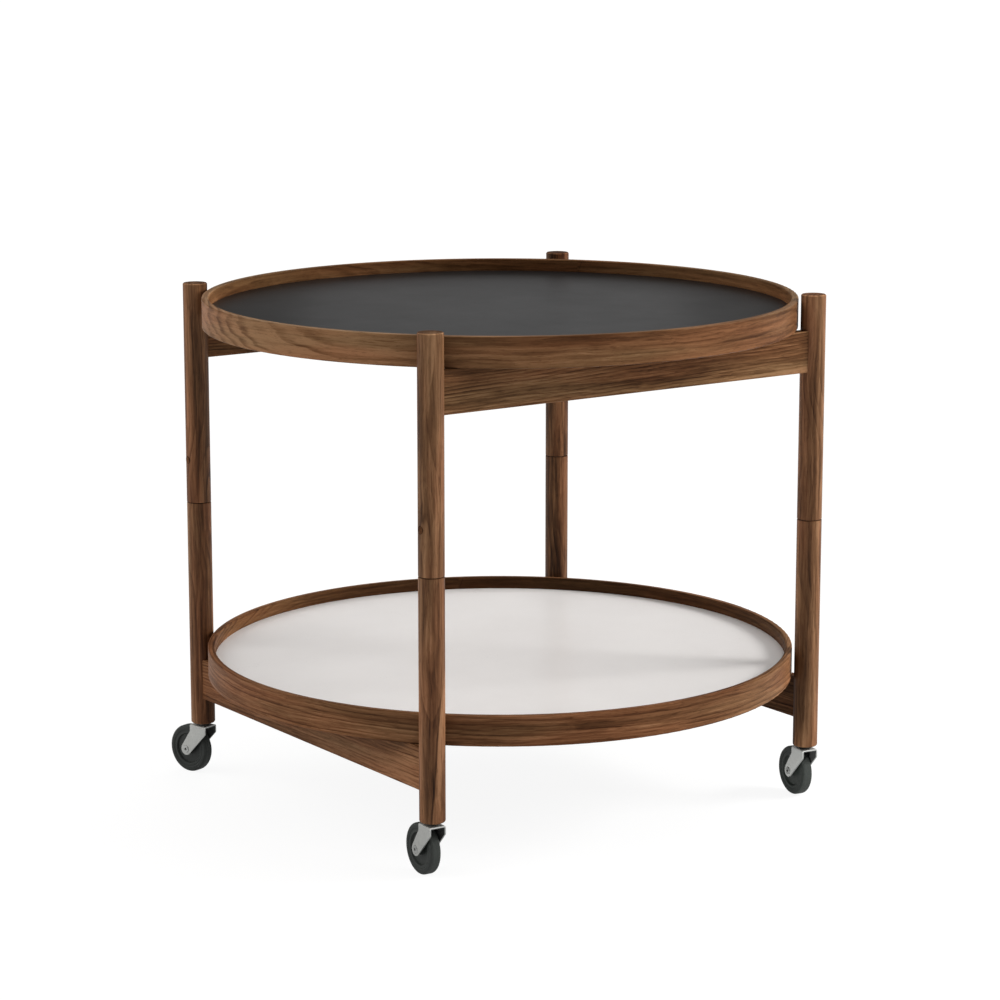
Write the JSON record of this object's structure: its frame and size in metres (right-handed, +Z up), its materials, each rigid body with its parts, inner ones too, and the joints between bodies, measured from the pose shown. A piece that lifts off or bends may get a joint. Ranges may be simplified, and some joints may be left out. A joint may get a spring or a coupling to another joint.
{
  "type": "tray table",
  "caption": "Round tiered tray table: loose reversible trays rest on rails between the split round legs of a folding walnut frame, on swivel casters.",
  "frame": {"origin": "on the floor, under the middle of the trays and midway between the legs", "axes": "+Z up; upper rails along X at the front (-Y) and back (+Y), lower rails along Y at the left (-X) and right (+X)"},
  "size_m": [0.6, 0.6, 0.52],
  "materials": {
    "leg_walnut": "satin oiled walnut, grain along the leg",
    "rail_walnut": "satin oiled walnut, grain along the rail",
    "rim_walnut": "satin oiled bent walnut, grain around the rim",
    "plug_walnut": "satin oiled walnut, end grain",
    "dowel_wood": "raw fluted hardwood",
    "core_board": "raw fibreboard",
    "black_laminate": "matt laminate with a soft sheen",
    "white_laminate": "satin laminate",
    "pin_steel": "bright drawn",
    "bush_brass": "turned",
    "washer_plastic": "matt",
    "socket_steel": "zinc plated",
    "fork_steel": "satin zinc plated sheet with bright cut edges",
    "axle_steel": "zinc plated",
    "hub_plastic": "matt moulded",
    "tyre_rubber": "matt moulded"
  },
  "bodies": {
    "lower_left_frame": {"lower_rail_left": "rail_walnut", "lower_leg_front_left": "leg_walnut", "lower_leg_back_left": "leg_walnut", "rail_dowels_lower_left": "dowel_wood", "pivot_bushes_left": "bush_brass", "pivot_washers_left": "washer_plastic", "caster_front_left_sleeve": "socket_steel", "caster_back_left_sleeve": "socket_steel"},
    "lower_right_frame": {"lower_rail_right": "rail_walnut", "lower_leg_front_right": "leg_walnut", "lower_leg_back_right": "leg_walnut", "rail_dowels_lower_right": "dowel_wood", "pivot_bushes_right": "bush_brass", "pivot_washers_right": "washer_plastic", "caster_front_right_sleeve": "socket_steel", "caster_back_right_sleeve": "socket_steel"},
    "upper_front_frame": {"upper_rail_front": "rail_walnut", "upper_leg_front_left": "leg_walnut", "upper_leg_front_right": "leg_walnut", "rail_dowels_upper_front": "dowel_wood", "pivot_pins_front": "pin_steel", "pivot_screws_front": "pin_steel", "pivot_plugs_front": "plug_walnut"},
    "upper_back_frame": {"upper_rail_back": "rail_walnut", "upper_leg_back_left": "leg_walnut", "upper_leg_back_right": "leg_walnut", "rail_dowels_upper_back": "dowel_wood", "pivot_pins_back": "pin_steel", "pivot_screws_back": "pin_steel", "pivot_plugs_back": "plug_walnut"},
    "top_tray": {"top_tray_rim": "rim_walnut", "top_tray_core": "core_board", "top_tray_black_laminate": "black_laminate", "top_tray_white_laminate": "white_laminate"},
    "lower_tray": {"lower_tray_rim": "rim_walnut", "lower_tray_core": "core_board", "lower_tray_white_laminate": "white_laminate", "lower_tray_black_laminate": "black_laminate"},
    "caster_front_left": {"caster_front_left_stem": "socket_steel", "caster_front_left_fork": "fork_steel", "caster_front_left_axle": "axle_steel"},
    "wheel_front_left": {"caster_front_left_hub": "hub_plastic", "caster_front_left_tyre": "tyre_rubber"},
    "caster_front_right": {"caster_front_right_stem": "socket_steel", "caster_front_right_fork": "fork_steel", "caster_front_right_axle": "axle_steel"},
    "wheel_front_right": {"caster_front_right_hub": "hub_plastic", "caster_front_right_tyre": "tyre_rubber"},
    "caster_back_left": {"caster_back_left_stem": "socket_steel", "caster_back_left_fork": "fork_steel", "caster_back_left_axle": "axle_steel"},
    "wheel_back_left": {"caster_back_left_hub": "hub_plastic", "caster_back_left_tyre": "tyre_rubber"},
    "caster_back_right": {"caster_back_right_stem": "socket_steel", "caster_back_right_fork": "fork_steel", "caster_back_right_axle": "axle_steel"},
    "wheel_back_right": {"caster_back_right_hub": "hub_plastic", "caster_back_right_tyre": "tyre_rubber"}
  },
  "joints": [
    {"name": "frame_fold", "type": "hinge", "parent": "lower_left_frame", "child": "upper_front_frame", "pos_m": [-0.2295, -0.216, 0.292], "axis": [0, 0, 1], "range_deg": [-0.42, 0.42]},
    {"name": "back_frame_fold", "type": "hinge", "parent": "lower_left_frame", "child": "upper_back_frame", "pos_m": [-0.2295, 0.216, 0.292], "axis": [0, 0, 1], "range_deg": [-0.42, 0.42]},
    {"name": "right_frame_fold", "type": "hinge", "parent": "upper_front_frame", "child": "lower_right_frame", "pos_m": [0.2295, -0.216, 0.292], "axis": [0, 0, 1], "range_deg": [-0.42, 0.42]},
    {"name": "top_tray_lift", "type": "slide", "parent": "upper_front_frame", "child": "top_tray", "axis": [0, 0, 1], "range_m": [0, 0.25]},
    {"name": "lower_tray_lift", "type": "slide", "parent": "lower_left_frame", "child": "lower_tray", "axis": [0, 0, 1], "range_m": [0, 0.28]},
    {"name": "swivel_front_left", "type": "hinge", "parent": "lower_left_frame", "child": "caster_front_left", "pos_m": [-0.2295, -0.216, 0.054], "axis": [0, 0, 1], "continuous": true},
    {"name": "roll_front_left", "type": "hinge", "parent": "caster_front_left", "child": "wheel_front_left", "pos_m": [-0.22838, -0.19864, 0.025], "axis": [0.9979, -0.0645, 0], "continuous": true},
    {"name": "swivel_front_right", "type": "hinge", "parent": "lower_right_frame", "child": "caster_front_right", "pos_m": [0.2295, -0.216, 0.054], "axis": [0, 0, 1], "continuous": true},
    {"name": "roll_front_right", "type": "hinge", "parent": "caster_front_right", "child": "wheel_front_right", "pos_m": [0.2321, -0.1988, 0.025], "axis": [0.9888, -0.1495, 0], "continuous": true},
    {"name": "swivel_back_left", "type": "hinge", "parent": "lower_left_frame", "child": "caster_back_left", "pos_m": [-0.2295, 0.216, 0.054], "axis": [0, 0, 1], "continuous": true},
    {"name": "roll_back_left", "type": "hinge", "parent": "caster_back_left", "child": "wheel_back_left", "pos_m": [-0.23485, 0.23256, 0.025], "axis": [0.9516, 0.3074, 0], "continuous": true},
    {"name": "swivel_back_right", "type": "hinge", "parent": "lower_right_frame", "child": "caster_back_right", "pos_m": [0.2295, 0.216, 0.054], "axis": [0, 0, 1], "continuous": true},
    {"name": "roll_back_right", "type": "hinge", "parent": "caster_back_right", "child": "wheel_back_right", "pos_m": [0.23132, 0.23331, 0.025], "axis": [0.9945, -0.1045, 0], "continuous": true}
  ],
  "couplings": [
    {"joint": "back_frame_fold", "follows": "frame_fold", "ratio": 1},
    {"joint": "right_frame_fold", "follows": "frame_fold", "ratio": -1}
  ]
}
